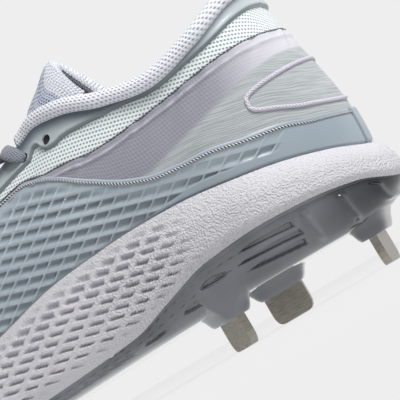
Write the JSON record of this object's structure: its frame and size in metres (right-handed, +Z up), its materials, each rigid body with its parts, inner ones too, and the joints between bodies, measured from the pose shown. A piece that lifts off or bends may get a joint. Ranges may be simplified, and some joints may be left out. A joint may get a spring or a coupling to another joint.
{
  "type": "baseball cleat",
  "caption": "Low baseball cleat for the left foot: padded collar, standing tongue, lacing, moulded rand, foam cup sole and a clear plate with steel blades.",
  "frame": {"origin": "on the ground, under the middle of the shoe's bounding box", "axes": "+Z up, +X towards the heel, so the toe points along -X, and +Y towards the inner side of the left foot"},
  "size_m": [0.3, 0.1054, 0.1143],
  "materials": {
    "plate": "gloss",
    "steel": "brushed",
    "foam": "satin",
    "textile": "matte",
    "film": "satin",
    "lining": "matte",
    "knit": "matte",
    "piping": "matte",
    "lace": "matte"
  },
  "bodies": {
    "root": {"outsole_plate": "plate", "blade_heel_outer": "steel", "blade_heel_inner": "steel", "blade_heel_rear": "steel", "blade_ball_outer": "steel", "blade_ball_inner": "steel", "blade_side_outer": "steel", "blade_side_inner": "steel", "blade_toe_outer": "steel", "blade_toe_inner": "steel", "midsole": "foam", "insole": "lining", "upper": "textile", "rand": "film", "toe_cap": "film", "eyestay": "film", "collar_roll": "lining", "tongue": "knit", "heel_piping": "piping", "lace": "lace"}
  },
  "joints": []
}
